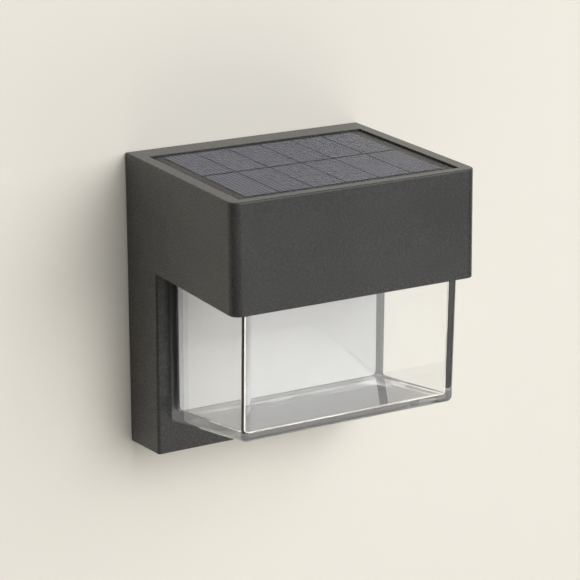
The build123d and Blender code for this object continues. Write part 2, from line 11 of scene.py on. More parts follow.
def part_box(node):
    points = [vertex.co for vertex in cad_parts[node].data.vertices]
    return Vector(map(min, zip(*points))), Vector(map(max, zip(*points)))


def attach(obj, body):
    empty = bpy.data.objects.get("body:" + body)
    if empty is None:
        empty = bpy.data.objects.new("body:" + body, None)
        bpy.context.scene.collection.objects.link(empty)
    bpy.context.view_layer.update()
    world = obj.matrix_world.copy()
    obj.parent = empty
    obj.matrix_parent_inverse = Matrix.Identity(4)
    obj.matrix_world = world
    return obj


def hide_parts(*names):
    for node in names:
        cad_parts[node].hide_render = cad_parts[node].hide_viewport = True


bl_info = {
    "name": "Solar wall light",
    "version": (1, 0, 0),
    "blender": (4, 5, 0),
    "location": "3D View > Sidebar > Solar light",
    "description": "Shells, lens, panel, finishes and stage of a solar wall light",
    "category": "Object",
}

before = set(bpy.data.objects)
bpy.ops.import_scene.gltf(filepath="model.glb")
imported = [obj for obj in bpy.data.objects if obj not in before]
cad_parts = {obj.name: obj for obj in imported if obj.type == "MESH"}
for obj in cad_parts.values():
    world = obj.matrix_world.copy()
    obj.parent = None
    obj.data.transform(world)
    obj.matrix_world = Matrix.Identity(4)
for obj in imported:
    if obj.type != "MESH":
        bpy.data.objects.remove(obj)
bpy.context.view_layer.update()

MM = 0.001
HOUSING_LOW, HOUSING_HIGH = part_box("housing")
LENS_LOW, LENS_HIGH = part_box("lens")
GLASS_LOW, GLASS_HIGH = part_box("solar_glass")
BUTTON_LOW, BUTTON_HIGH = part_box("power_button")
BUTTON_Y = (BUTTON_LOW.y + BUTTON_HIGH.y) / 2

# How finely round shapes are divided
CORNER_STEPS = 6
HEAD_CORNER_STEPS = 12
TOP_EDGE_STEPS = 5
SHEET_EDGE_STEPS = 3
BROKEN_EDGE_STEPS = 2
HOLE_STEPS = 48
BUTTON_STEPS = 64

# What counts as the same place, and as a sharp edge
NEAR = 0.01 * MM
MERGED = 0.001 * MM
SHARP_ANGLE = math.radians(50)
BROKEN_ANGLE = math.radians(45)

# How far a cutter runs past the face that it opens
PAST = 1 * MM
PAST_TOP = 5 * MM
PAST_BACK = 10 * MM

# Where a noise texture has nearly all its values
NOISE_LOW = 0.3
NOISE_HIGH = 0.7

# Places of the factor, the two colours and the mixed colour on a Mix node
MIX_INPUTS = (0, 6, 7)
MIX_OUTPUT = 2

SENSOR_WIDTH = 36.0  # of the camera, in millimetres

# A moulded, painted or metal finish: who wears it, two colours in linear light, grain per metre, least and
# most roughness, relief of the grain, and the shader's own inputs
Look = namedtuple("Look", "nodes dark pale grain roughness relief inputs", defaults=(0.01 * MM, {}))
METAL = {"Metallic": 1.0}

INNER_LOOKS = {
    "nickel_strip": Look(
        ("battery_tabs",), dark=(0.52, 0.50, 0.46), pale=(0.62, 0.60, 0.56), grain=900.0,
        roughness=(0.2, 0.35), inputs=METAL),
    "tinned_ribbon": Look(
        ("cell_ribbons",), dark=(0.50, 0.50, 0.50), pale=(0.60, 0.60, 0.60), grain=900.0,
        roughness=(0.2, 0.35), inputs=METAL),
    "aluminium_can": Look(
        ("board_capacitor",), dark=(0.60, 0.60, 0.61), pale=(0.70, 0.70, 0.71), grain=700.0,
        roughness=(0.25, 0.4), inputs=METAL),
    "black_powder_coat": Look(
        ("wall_bracket",), dark=(0.020, 0.020, 0.020), pale=(0.034, 0.034, 0.034), grain=1100.0,
        roughness=(0.4, 0.6), relief=0.05 * MM),
    "green_solder_mask": Look(
        ("control_board",), dark=(0.010, 0.085, 0.030), pale=(0.014, 0.11, 0.04), grain=500.0,
        roughness=(0.2, 0.35)),
    "white_solder_mask": Look(
        ("led_board",), dark=(0.74, 0.74, 0.72), pale=(0.80, 0.80, 0.78), grain=500.0,
        roughness=(0.3, 0.42)),
    "led_phosphor": Look(
        ("leds",), dark=(0.78, 0.60, 0.17), pale=(0.86, 0.70, 0.25), grain=900.0,
        roughness=(0.25, 0.4)),
    "black_epoxy": Look(
        ("board_chips", "boost_coil", "push_switch"), dark=(0.016, 0.016, 0.017), pale=(0.026, 0.026, 0.027),
        grain=1500.0, roughness=(0.45, 0.65), relief=0.02 * MM),
    "natural_nylon": Look(
        ("board_connectors", "switch_plunger"), dark=(0.66, 0.63, 0.55), pale=(0.74, 0.71, 0.63), grain=900.0,
        roughness=(0.35, 0.5)),
    "blue_sleeve": Look(
        ("battery_cell",), dark=(0.012, 0.060, 0.26), pale=(0.018, 0.075, 0.30), grain=250.0,
        roughness=(0.2, 0.32)),
    "black_cradle": Look(
        ("battery_cradle",), dark=(0.022, 0.022, 0.022), pale=(0.034, 0.034, 0.034), grain=1500.0,
        roughness=(0.4, 0.55), relief=0.03 * MM),
    "red_insulation": Look(
        ("positive_leads",), dark=(0.34, 0.012, 0.010), pale=(0.42, 0.02, 0.016), grain=900.0,
        roughness=(0.3, 0.42)),
    "black_insulation": Look(
        ("negative_leads",), dark=(0.014, 0.014, 0.014), pale=(0.022, 0.022, 0.022), grain=900.0,
        roughness=(0.3, 0.42)),
}


def length(name, description, default):
    """A size in metres that a user may change."""
    return FloatProperty(name=name, description=description, default=default, min=0.0, unit="LENGTH")


def angle(name, description, degrees):
    """A slope that a user may change."""
    return FloatProperty(name=name, description=description, default=math.radians(degrees), unit="ROTATION")


def colour(name, description, default):
    """A colour in linear light."""
    return FloatVectorProperty(name=name, description=description, default=default, size=3, min=0.0, max=1.0,
                               subtype="COLOR")


def place(name, description, default):
    """A point in metres."""
    return FloatVectorProperty(name=name, description=description, default=default, size=3,
                               subtype="TRANSLATION")


def power(name, description, default):
    """A lamp's power in watts."""
    return FloatProperty(name=name, description=description, default=default, min=0.0, unit="POWER")


class LightHousingSizes(bpy.types.PropertyGroup):
    """Sizes of the inverted-L housing."""
    wall: length("Wall", "Thickness of the moulded walls", 2.8 * MM)
    head_bottom: length("Head bottom", "Height of the head's underside above the bracket's middle", 21.3 * MM)
    top_front: length("Top front", "Distance from the wall to the head's top front edge", 111.0 * MM)
    plate_depth: length("Plate depth", "Distance from the wall to the plate's front", 31.6 * MM)
    plate_drop: length("Plate drop", "Depth of the plate's front edge below the bracket's middle", 72.6 * MM)
    head_corner: length("Head corner", "Radius of the head's upright front corners", 5.0 * MM)
    plate_corner: length("Plate corner", "Radius of the plate's upright front corners", 1.5 * MM)
    top_edge: length("Top edge", "Radius round the top", 0.9 * MM)
    rim_edge: length("Rim edge", "Small break on every other outer edge", 0.25 * MM)
    panel_gap: length("Panel gap", "Slot between the panel and its recess", 1.1 * MM)
    recess_floor: length("Recess floor", "Height of the ledge that the panel's seal lies on", 70.4 * MM)
    ceiling: length("Ceiling", "Height of the inside of the top", 68.2 * MM)
    panel_ledge: length("Panel ledge", "Width of the ledge under the panel", 4.0 * MM)
    lens_slot: length("Lens slot", "Slot between the lens's neck and the head", 1.0 * MM)
    button_radius: length("Button radius", "Radius of the button in the underside", 5.0 * MM)
    button_slot: length("Button slot", "Slot round the button", 0.3 * MM)


class LightLensSizes(bpy.types.PropertyGroup):
    """Sizes of the clear lens."""
    wall: length("Wall", "Thickness of the panes", 3.5 * MM)
    floor: length("Floor", "Thickness of the floor at the front", 4.0 * MM)
    drop: length("Drop", "Height of the front pane below the head", 64.0 * MM)
    draft: angle("Draft", "Lean of the front pane", 1.3)
    under_slope: angle("Underside slope", "Rise of the underside towards the front", 10.7)
    floor_slope: angle("Floor slope", "Rise of the floor inside towards the front", 8.7)
    neck_step: length("Neck step", "How much smaller the neck is on every side", 1.5 * MM)
    outer_radius: length("Outer radius", "Rounding of the outer edges", 2.8 * MM)
    inner_radius: length("Inner radius", "Rounding of the inner edges", 1.6 * MM)


class LightPanelSizes(bpy.types.PropertyGroup):
    """Sizes of the sheet over the solar cells."""
    corner: length("Corner", "Radius of the sheet's upright corners", 1.1 * MM)
    edge: length("Edge", "Rounding of the sheet's top edge", 0.25 * MM)
    shrink: length("Shrink", "How much the sheet is set in at its sides", 0.4 * MM)
    lift: length("Lift", "Layer of glue under the sheet", 0.06 * MM)


class LightButtonSizes(bpy.types.PropertyGroup):
    """Sizes of the rubber button in the underside."""
    flange: length("Flange", "Radius of the flange inside", BUTTON_HIGH.x)
    flange_height: length("Flange height", "Height of the flange", 1.5 * MM)
    stem: length("Stem", "Radius of the stem that meets the switch", 3.0 * MM)
    stem_rise: length("Stem rise", "Height of the stem above the flange", 1.5 * MM)
    round: length("Round", "Rounding of the cap's lower edge", 0.7 * MM)
    dish: length("Dish", "Depth of the finger dish in the cap", 0.5 * MM)
    dish_radius: length("Dish radius", "Radius of the finger dish", 3.6 * MM)


class LightFinishes(bpy.types.PropertyGroup):
    """Colours of the light's parts."""
    housing: colour("Housing", "Dark grey moulding", (0.0340, 0.0340, 0.0338))
    housing_pale: colour("Housing, pale grain", "Crests of the moulding's grain", (0.0610, 0.0610, 0.0605))
    cell: colour("Cell", "Pale finger lines on the silicon", (0.096, 0.107, 0.160))
    cell_dark: colour("Cell, dark", "Silicon between the finger lines", (0.052, 0.060, 0.102))
    finger_pitch: length("Finger pitch", "Distance from one finger line to the next", 2.2 * MM)
    finger_width: length("Finger width", "Width of a finger line", 0.7 * MM)
    sheet: colour("Sheet", "Satin sheet over the cells", (0.06, 0.06, 0.065))
    backsheet: colour("Backsheet", "Sheet behind the cells", (0.034, 0.0337, 0.031))
    white: colour("White", "Glossy white parts round the lens", (0.54, 0.543, 0.555))
    back_paint: colour("Back paint", "Paint on the lens's back face", (0.15, 0.15, 0.153))
    rubber: colour("Rubber", "Seals and button", (0.018, 0.018, 0.018))
    steel: colour("Steel", "Zinc-plated screws", (0.56, 0.56, 0.55))


class LightStage(bpy.types.PropertyGroup):
    """Wall, floor, lamps and camera."""
    wall: colour("Wall", "Plain painted wall", (0.86, 0.83, 0.755))
    floor: colour("Floor", "Plain pale floor", (0.54, 0.527, 0.497))
    reach: length("Reach", "Half the side of the wall and of the floor", 3.0)
    floor_drop: length("Floor drop", "Floor below the bracket's middle", 1.1)
    wall_gap: length("Wall gap", "Gap between the bracket and the wall", 0.2 * MM)
    hole_half: length("Hole half", "Half width of the wall's hole behind the light", 0.062)
    hole_top: length("Hole top", "Top of that hole above the bracket's middle", 0.072)
    hole_drop: length("Hole drop", "Bottom of that hole below the bracket's middle", 0.062)
    world: FloatProperty(name="Surroundings", description="Strength of the even light", default=0.12, min=0.0)
    world_tint: colour("Surroundings, tint", "Colour of the even light", (1.0, 0.985, 0.95))
    key: power("Key lamp", "Power of the large soft lamp", 262.0)
    key_size: length("Key size", "Side of the large soft lamp", 5.0)
    key_place: place("Key place", "Where the large soft lamp stands", (1.6, -3.76, 2.45))
    fill: power("Fill lamp", "Power of the low soft lamp", 2.8)
    fill_size: length("Fill size", "Side of the low soft lamp", 1.2)
    fill_place: place("Fill place", "Where the low soft lamp stands", (1.0, -1.75, -0.5))
    rear: power("Rear lamp", "Power of the soft lamp behind the wall", 36.0)
    rear_size: length("Rear size", "Side of the soft lamp behind the wall", 1.2)
    rear_place: place("Rear place", "Where the soft lamp behind the wall stands", (-0.7, 1.6, 0.9))
    eye: place("Eye", "Where the camera stands", (-0.5215, -0.9725, 0.3401))
    aim: place("Aim", "What the camera looks at", (0.00454, -0.0390, 0.00425))
    roll: angle("Roll", "Turn of the camera about its own axis", -0.034)
    lens: FloatProperty(name="Lens", description="Focal length in millimetres", default=139.92, unit="CAMERA")


def near(a, b):
    """True for two sizes that are the same to a hundredth of a millimetre."""
    return abs(a - b) < NEAR


def draw_out(bm, face, step):
    """Draws a face out by a step."""
    drawn = bmesh.ops.extrude_face_region(bm, geom=[face])["geom"]
    bmesh.ops.translate(bm, verts=[v for v in drawn if isinstance(v, bmesh.types.BMVert)], vec=step)


def prism(outline, half):
    """Outline in Y and Z, drawn out to both sides of X = 0."""
    bm = bmesh.new()
    face = bm.faces.new([bm.verts.new((-half, y, z)) for y, z in outline])
    draw_out(bm, face, (2 * half, 0, 0))
    bmesh.ops.recalc_face_normals(bm, faces=bm.faces)
    return bm


def slab(half, y0, y1, z0, z1):
    """Box that is centred on X = 0."""
    return prism([(y0, z0), (y1, z0), (y1, z1), (y0, z1)], half)


def turned(outline, y, steps):
    """Outline in radius and height, turned round the upright axis at X = 0 and Y."""
    bm = bmesh.new()
    points = [bm.verts.new((radius, y, z)) for radius, z in outline]
    edges = [bm.edges.new(pair) for pair in zip(points, points[1:])]
    bmesh.ops.spin(bm, geom=points + edges, cent=(0, y, 0), axis=(0, 0, 1), angle=math.tau, steps=steps,
                   use_merge=True)
    bmesh.ops.remove_doubles(bm, verts=bm.verts, dist=MERGED)
    bmesh.ops.recalc_face_normals(bm, faces=bm.faces)
    return bm


def bevel(bm, edges, radius, steps):
    """Rounds edges."""
    bmesh.ops.bevel(bm, geom=edges, offset=radius, offset_type="OFFSET", affect="EDGES", segments=steps,
                    profile=0.5, material=-1, clamp_overlap=True)


def round_edges(bm, radius, steps, wanted):
    """Rounds the edges whose two ends are wanted."""
    edges = [edge for edge in bm.edges if wanted(edge.verts[0].co, edge.verts[1].co)]
    if not edges:
        raise RuntimeError("no edge to round")
    bevel(bm, edges, radius, steps)


def break_edges(bm, width):
    """Small bevel on each sharp outer edge; faces and edges that it leaves without size are dissolved."""
    outer = [edge for edge in bm.edges if edge.is_convex and edge.calc_face_angle(0.0) > BROKEN_ANGLE]
    bevel(bm, outer, width, BROKEN_EDGE_STEPS)
    bmesh.ops.dissolve_degenerate(bm, dist=MERGED, edges=bm.edges)


def as_object(name, bm):
    """Mesh object made from a bmesh, which is freed."""
    mesh = bpy.data.meshes.new(name)
    bm.to_mesh(mesh)
    bm.free()
    made = bpy.data.objects.new(name, mesh)
    bpy.context.scene.collection.objects.link(made)
    return made


def carve(bm, cutters):
    """Takes the cutters out of a shape and returns what is left."""
    body = as_object("carved", bm)
    tools = [as_object("cutter", cutter) for cutter in cutters]
    for tool in tools:
        cut = body.modifiers.new("cut", "BOOLEAN")
        cut.operation = "DIFFERENCE"
        cut.solver = "EXACT"
        cut.object = tool
    left = body.evaluated_get(bpy.context.evaluated_depsgraph_get()).to_mesh()
    carved = bmesh.new()
    carved.from_mesh(left)
    for used in [body] + tools:
        mesh = used.data
        bpy.data.objects.remove(used)
        bpy.data.meshes.remove(mesh)
    if not carved.faces:
        raise RuntimeError("nothing is left of the carved shape")
    return carved


def add_piece(name, bm, finish, body, replaced):
    """Smooth piece that stands for a CAD node, with flat faces that stay flat."""
    piece = as_object(name, bm)
    piece.data.shade_smooth()
    piece.data.set_sharp_from_angle(angle=SHARP_ANGLE)
    piece.data.materials.append(bpy.data.materials[finish])
    flat = piece.modifiers.new("flat_faces", "WEIGHTED_NORMAL")
    flat.keep_sharp = True
    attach(piece, body)
    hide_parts(replaced)
    return piece


def dress(finish, *nodes):
    """Gives a finish to CAD nodes."""
    for node in nodes:
        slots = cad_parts[node].material_slots
        if not slots:
            raise RuntimeError(node + " has no material slot")
        for slot in slots:
            slot.material = finish


def rgba(value):
    """Colour with full alpha."""
    return (*value, 1.0)


def shade(value, share):
    """Colour made darker or paler."""
    return [channel * share for channel in value]


def connect(value, socket):
    """Links a socket to another one, or sets it to a plain value."""
    if isinstance(value, bpy.types.NodeSocket):
        socket.id_data.links.new(value, socket)
    else:
        socket.default_value = value


def feed(node, values):
    """Links or sets a node's inputs by name."""
    for name, value in values.items():
        connect(value, node.inputs[name])


def add_node(tree, kind, **settings):
    """Node with its settings."""
    node = tree.nodes.new(kind)
    for key, value in settings.items():
        setattr(node, key, value)
    return node


def object_place(tree):
    """Object coordinates."""
    return add_node(tree, "ShaderNodeTexCoord").outputs["Object"]


def maths(tree, operation, *values):
    """Math node fed by sockets or plain numbers; returns its output."""
    node = add_node(tree, "ShaderNodeMath", operation=operation)
    for value, socket in zip(values, node.inputs):
        connect(value, socket)
    return node.outputs[0]


def mixed(tree, factor, first, second):
    """Mix of two colours by a factor; returns the colour."""
    node = add_node(tree, "ShaderNodeMix", data_type="RGBA")
    for value, number in zip((factor, first, second), MIX_INPUTS):
        connect(value, node.inputs[number])
    return node.outputs[MIX_OUTPUT]


def noise(tree, coordinates, scale, detail):
    """Noise texture; returns its factor."""
    node = add_node(tree, "ShaderNodeTexNoise")
    feed(node, {"Vector": coordinates, "Scale": scale, "Detail": detail})
    return node.outputs[0]


def spread(tree, value, low, high, least, most):
    """Maps low..high to least..most; any of them may be a socket."""
    node = add_node(tree, "ShaderNodeMapRange", interpolation_type="SMOOTHSTEP")
    for given, socket in zip((value, low, high, least, most), node.inputs):
        connect(given, socket)
    return node.outputs[0]


def cloud(tree, coordinates, scale, detail, least, most):
    """Noise that runs from least to most."""
    return spread(tree, noise(tree, coordinates, scale, detail), NOISE_LOW, NOISE_HIGH, least, most)


def bump(tree, height, strength, distance, shader):
    """Bump node that feeds a shader's normal."""
    node = add_node(tree, "ShaderNodeBump")
    feed(node, {"Height": height, "Strength": strength, "Distance": distance})
    connect(node.outputs["Normal"], shader.inputs["Normal"])


def let_through(tree, shader, where, tint):
    """Makes a shader transparent where a factor is 1."""
    bare = add_node(tree, "ShaderNodeBsdfTransparent")
    feed(bare, {"Color": rgba(tint)})
    blend = add_node(tree, "ShaderNodeMixShader")
    for source, socket in zip((where, shader.outputs[0], bare.outputs[0]), blend.inputs):
        connect(source, socket)
    connect(blend.outputs[0], tree.nodes["Material Output"].inputs["Surface"])


def make_group(name, inputs, outputs):
    """Node group with named sockets; returns it, the sockets that it is given and its output node."""
    group = bpy.data.node_groups.new(name, "ShaderNodeTree")
    for label, default in inputs.items():
        kind = "NodeSocketColor" if isinstance(default, tuple) else "NodeSocketFloat"
        group.interface.new_socket(label, in_out="INPUT", socket_type=kind).default_value = default
    for label, kind in outputs.items():
        group.interface.new_socket(label, in_out="OUTPUT", socket_type=kind)
    return group, add_node(group, "NodeGroupInput").outputs, add_node(group, "NodeGroupOutput")


def placed_group(tree, name, values):
    """A node group placed in a material with its own values; returns its outputs."""
    node = add_node(tree, "ShaderNodeGroup", node_tree=bpy.data.node_groups[name])
    feed(node, values)
    return node.outputs


def moulded_grain():
    """Fine grain of a moulded surface: two colours, a roughness and a height that vary together."""
    grain_low, grain_detail = 0.35, 2.0
    patch_scale, patch_detail = 22.0, 3.0
    grain_share, patch_share = 0.65, 0.35
    group, given, out = make_group(
        "moulded_grain",
        {"Colour": (0.1, 0.1, 0.1, 1.0), "Pale Colour": (0.2, 0.2, 0.2, 1.0), "Grain Scale": 1600.0,
         "Least Roughness": 0.4, "Most Roughness": 0.6},
        {"Colour": "NodeSocketColor", "Roughness": "NodeSocketFloat", "Height": "NodeSocketFloat"})
    spot = object_place(group)
    fine = noise(group, spot, given["Grain Scale"], grain_detail)
    crest = spread(group, fine, grain_low, NOISE_HIGH, 0.0, 1.0)
    patch = cloud(group, spot, patch_scale, patch_detail, 0.0, patch_share)
    blend = maths(group, "ADD", maths(group, "MULTIPLY", crest, grain_share), patch)
    rough = spread(group, blend, 0.0, 1.0, given["Least Roughness"], given["Most Roughness"])
    tone = mixed(group, blend, given["Colour"], given["Pale Colour"])
    feed(out, {"Colour": tone, "Roughness": rough, "Height": crest})


def stripe_mask():
    """Repeated lines: 1 on a line and 0 between lines, across a distance."""
    soft_edge = 1.6  # a line's width with its soft edges, over its own width
    group, given, out = make_group(
        "stripe_mask", {"Distance": 0.0, "Pitch": 0.01, "Width": 0.001}, {"Mask": "NodeSocketFloat"})
    turn = maths(group, "DIVIDE", given["Distance"], given["Pitch"])
    part = maths(group, "ABSOLUTE", maths(group, "SUBTRACT", maths(group, "FRACT", turn), 0.5))
    across = maths(group, "MULTIPLY", part, given["Pitch"])
    half = maths(group, "MULTIPLY", given["Width"], 0.5)
    edge = maths(group, "MULTIPLY", half, soft_edge)
    feed(out, {"Mask": spread(group, across, half, edge, 1.0, 0.0)})


def new_finish(name):
    """Material with its shader; returns it, its node tree and the shader."""
    finish = bpy.data.materials.new(name)
    finish.use_nodes = True
    return finish, finish.node_tree, finish.node_tree.nodes["Principled BSDF"]


def moulded_finish(name, look):
    """Plastic, rubber, paint or metal: grain in colour, roughness and relief."""
    grain_strength = 0.35
    finish, tree, shader = new_finish(name)
    least, most = look.roughness
    grain = placed_group(tree, "moulded_grain", {
        "Colour": rgba(look.dark), "Pale Colour": rgba(look.pale), "Grain Scale": look.grain,
        "Least Roughness": least, "Most Roughness": most})
    feed(shader, {"Base Color": grain["Colour"], "Roughness": grain["Roughness"], **look.inputs})
    if look.relief:
        bump(tree, grain["Height"], grain_strength, look.relief, shader)
    return finish


def outer_looks(colours):
    """Looks of the parts that show, and of seals and screws, from the colours that a user may change."""
    return {
        "dark_moulding": Look(
            ("rear_cover", "housing"), dark=colours.housing, pale=colours.housing_pale, grain=1500.0,
            roughness=(0.20, 0.32), relief=0.02 * MM, inputs={"Specular IOR Level": 0.3}),
        "white_gloss": Look(
            ("back_reflector", "led_carrier"), dark=colours.white, pale=shade(colours.white, 1.03),
            grain=300.0, roughness=(0.04, 0.09), relief=0.0,
            inputs={"Coat Weight": 0.6, "Coat IOR": 1.55, "Coat Roughness": 0.02}),
        "lens_back_paint": Look(
            (), dark=colours.back_paint, pale=shade(colours.back_paint, 1.05), grain=300.0,
            roughness=(0.4, 0.5), relief=0.0),
        "black_rubber": Look(
            ("lens_seal", "panel_seal", "rear_seal", "button_seal", "lead_grommet", "power_button"),
            dark=colours.rubber, pale=shade(colours.rubber, 1.6), grain=1800.0,
            roughness=(0.55, 0.75), relief=0.03 * MM),
        "panel_backsheet": Look(
            ("solar_backsheet",), dark=colours.backsheet, pale=shade(colours.backsheet, 1.1), grain=700.0,
            roughness=(0.3, 0.4), relief=0.004 * MM, inputs={"Specular IOR Level": 0.12}),
        "zinc_steel": Look(
            ("led_carrier_screws", "control_board_screws", "carrier_short_screws", "rear_cover_screws"),
            dark=shade(colours.steel, 0.8), pale=colours.steel, grain=1200.0,
            roughness=(0.25, 0.42), inputs=METAL),
    }


def lens_finish():
    """Polished clear plastic with the faint haze of a moulding; lamps shine through it with a tint."""
    haze_scale, haze_detail = 60.0, 2.0
    most_roughness = 0.012
    clear, clearest = (0.985, 0.985, 0.975), (0.995, 0.995, 0.99)
    shadow_tint = (0.93, 0.93, 0.92)
    _, tree, shader = new_finish("clear_moulding")
    haze = noise(tree, object_place(tree), haze_scale, haze_detail)
    blend = spread(tree, haze, NOISE_LOW, NOISE_HIGH, 0.0, 1.0)
    feed(shader, {
        "Transmission Weight": 1.0, "IOR": 1.49, "Coat Weight": 0.5, "Coat IOR": 1.6, "Coat Roughness": 0.0,
        "Base Color": mixed(tree, blend, rgba(clear), rgba(clearest)),
        "Roughness": spread(tree, haze, NOISE_LOW, NOISE_HIGH, 0.0, most_roughness)})
    let_through(tree, shader, add_node(tree, "ShaderNodeLightPath").outputs["Is Shadow Ray"], shadow_tint)


def sheet_finish(colours):
    """Satin sheet over the cells."""
    scale, detail = 35.0, 3.0
    least_roughness, most_roughness = 0.21, 0.26
    _, tree, shader = new_finish("panel_sheet")
    rough = cloud(tree, object_place(tree), scale, detail, least_roughness, most_roughness)
    feed(shader, {"Base Color": rgba(colours.sheet), "Alpha": 0.08, "Roughness": rough})


def cell_finish(colours):
    """Silicon with fine finger lines along the depth of the panel."""
    drift_scale, drift_detail, drift_share = 30.0, 3.0, 0.25
    least_roughness, most_roughness = 0.22, 0.32
    line_strength, line_height = 0.2, 0.01 * MM
    finish, tree, shader = new_finish("cell_silicon")
    spot = object_place(tree)
    axes = add_node(tree, "ShaderNodeSeparateXYZ")
    connect(spot, axes.inputs[0])
    lines = placed_group(tree, "stripe_mask", {
        "Distance": axes.outputs["X"], "Pitch": colours.finger_pitch, "Width": colours.finger_width})["Mask"]
    base = mixed(tree, lines, rgba(colours.cell_dark), rgba(colours.cell))
    drift = cloud(tree, spot, drift_scale, drift_detail, 0.0, drift_share)
    feed(shader, {
        "Base Color": mixed(tree, drift, base, rgba(colours.cell)),
        "Roughness": spread(tree, lines, 0.0, 1.0, least_roughness, most_roughness),
        "Specular IOR Level": 0.18})
    bump(tree, lines, line_strength, line_height, shader)
    return finish


def stage_paint(name, tint):
    """Matt paint with a slight unevenness, seen through from behind."""
    scale, detail = 3.0, 3.0
    darker = 0.99
    finish, tree, shader = new_finish(name)
    uneven = cloud(tree, object_place(tree), scale, detail, 0.0, 1.0)
    feed(shader, {
        "Base Color": mixed(tree, uneven, rgba(shade(tint, darker)), rgba(tint)),
        "Roughness": 0.9, "Specular IOR Level": 0.1})
    let_through(tree, shader, add_node(tree, "ShaderNodeNewGeometry").outputs["Backfacing"], (1.0, 1.0, 1.0))
    return finish


class SOLARLIGHT_OT_finishes(bpy.types.Operator):
    """Makes the finishes and gives each CAD node its own"""
    bl_idname = "solarlight.finishes"
    bl_label = "Finishes"

    def execute(self, context):
        colours = context.scene.solarlight_finishes
        moulded_grain()
        stripe_mask()
        lens_finish()
        sheet_finish(colours)
        dress(cell_finish(colours), "solar_cells")
        for name, look in {**outer_looks(colours), **INNER_LOOKS}.items():
            dress(moulded_finish(name, look), *look.nodes)
        return {"FINISHED"}


def front_inside(s, z):
    """Y of the inside of the head's leaning front, at a height."""
    lean = (HOUSING_LOW.y + s.top_front) / (HOUSING_HIGH.z - s.head_bottom)
    return -s.top_front + (HOUSING_HIGH.z - z) * lean + s.wall


def bottom_inside(s, y):
    """Height of the inside of the plate's sloping bottom, at a depth."""
    slope = (HOUSING_LOW.z + s.plate_drop) / (HOUSING_HIGH.y + s.plate_depth)
    return -s.plate_drop + (y + s.plate_depth) * slope + s.wall


def housing_outside(s):
    """Inverted L with round front corners and a round top edge."""
    half, rear, top = HOUSING_HIGH
    shell = prism([(rear, top), (-s.top_front, top), (HOUSING_LOW.y, s.head_bottom),
                   (-s.plate_depth, s.head_bottom), (-s.plate_depth, -s.plate_drop),
                   (rear, HOUSING_LOW.z)], half)

    def upright(a, b):
        return near(abs(a.x), half) and near(a.x, b.x)

    round_edges(shell, s.head_corner, HEAD_CORNER_STEPS,
                lambda a, b: upright(a, b) and max(a.y, b.y) < -s.top_front + NEAR)
    round_edges(shell, s.plate_corner, CORNER_STEPS,
                lambda a, b: upright(a, b) and near(a.y, -s.plate_depth) and near(b.y, -s.plate_depth))
    round_edges(shell, s.top_edge, TOP_EDGE_STEPS,
                lambda a, b: near(a.z, top) and near(b.z, top) and min(a.y, b.y) < rear - NEAR)
    return shell


def housing_cavity(s):
    """Inside of the housing, open at the back."""
    half = HOUSING_HIGH.x - s.wall
    ledge = s.head_bottom + s.wall
    inner = -s.plate_depth + s.wall
    behind = HOUSING_HIGH.y + PAST_BACK
    front = front_inside(s, s.ceiling)
    cavity = prism([(behind, s.ceiling), (front, s.ceiling), (front_inside(s, ledge), ledge), (inner, ledge),
                    (inner, bottom_inside(s, inner)), (behind, bottom_inside(s, behind))], half)
    round_edges(cavity, s.head_corner - s.wall, CORNER_STEPS,
                lambda a, b: near(abs(a.x), half) and near(a.x, b.x) and max(a.y, b.y) < front + NEAR)
    return cavity


def housing_openings(s, lens):
    """Cutters for the panel's recess and window, the lens's opening and the button's hole."""
    gap = s.panel_gap
    recess = slab(GLASS_HIGH.x + gap, GLASS_LOW.y - gap, GLASS_HIGH.y + gap,
                  s.recess_floor, HOUSING_HIGH.z + PAST_TOP)
    inset = s.panel_ledge - gap
    window = slab(GLASS_HIGH.x - inset, GLASS_LOW.y + inset, GLASS_HIGH.y - inset,
                  s.ceiling - PAST, HOUSING_HIGH.z)
    neck = lens.neck_step - s.lens_slot
    opening = slab(LENS_HIGH.x - neck, LENS_LOW.y + neck, LENS_HIGH.y - neck,
                   s.head_bottom - PAST, s.head_bottom + s.wall + PAST)
    reach = s.button_radius + s.button_slot
    low = HOUSING_LOW.z - PAST
    high = bottom_inside(s, -s.plate_depth + s.wall) + PAST
    hole = turned([(0, low), (reach, low), (reach, high), (0, high)], BUTTON_Y, HOLE_STEPS)
    return [recess, window, opening, hole]


class SOLARLIGHT_OT_housing(bpy.types.Operator):
    """Models the housing: an inverted-L shell with the panel's recess and the lens's opening"""
    bl_idname = "solarlight.housing"
    bl_label = "Housing"

    def execute(self, context):
        s = context.scene.solarlight_housing
        openings = housing_openings(s, context.scene.solarlight_lens)
        shell = carve(housing_outside(s), [housing_cavity(s)] + openings)
        break_edges(shell, s.rim_edge)
        add_piece("housing_shell", shell, "dark_moulding", "lamp", "housing")
        return {"FINISHED"}


def lens_foot(s, head):
    """Y and Z of the front pane's lower edge, below the head's underside."""
    return LENS_LOW.y + s.drop * math.tan(s.draft), head - s.drop


def lens_outside(s, head):
    """Box with a leaning front, a sloping underside and a neck that enters the head."""
    half, back, top = LENS_HIGH
    foot_y, foot_z = lens_foot(s, head)
    back_low = foot_z - (back - foot_y) * math.tan(s.under_slope)
    body = prism([(back, head), (LENS_LOW.y, head), (foot_y, foot_z), (back, back_low)], half)
    round_edges(body, s.outer_radius, CORNER_STEPS,
                lambda a, b: min(a.z, b.z) < head - NEAR and min(a.y, b.y) < back - NEAR)
    crown = max(body.faces, key=lambda face: face.calc_center_median().z)
    bmesh.ops.inset_region(body, faces=[crown], thickness=s.neck_step, use_even_offset=True)
    draw_out(body, crown, (0, 0, top - head))
    bmesh.ops.delete(body, geom=[crown], context="FACES_ONLY")
    return body


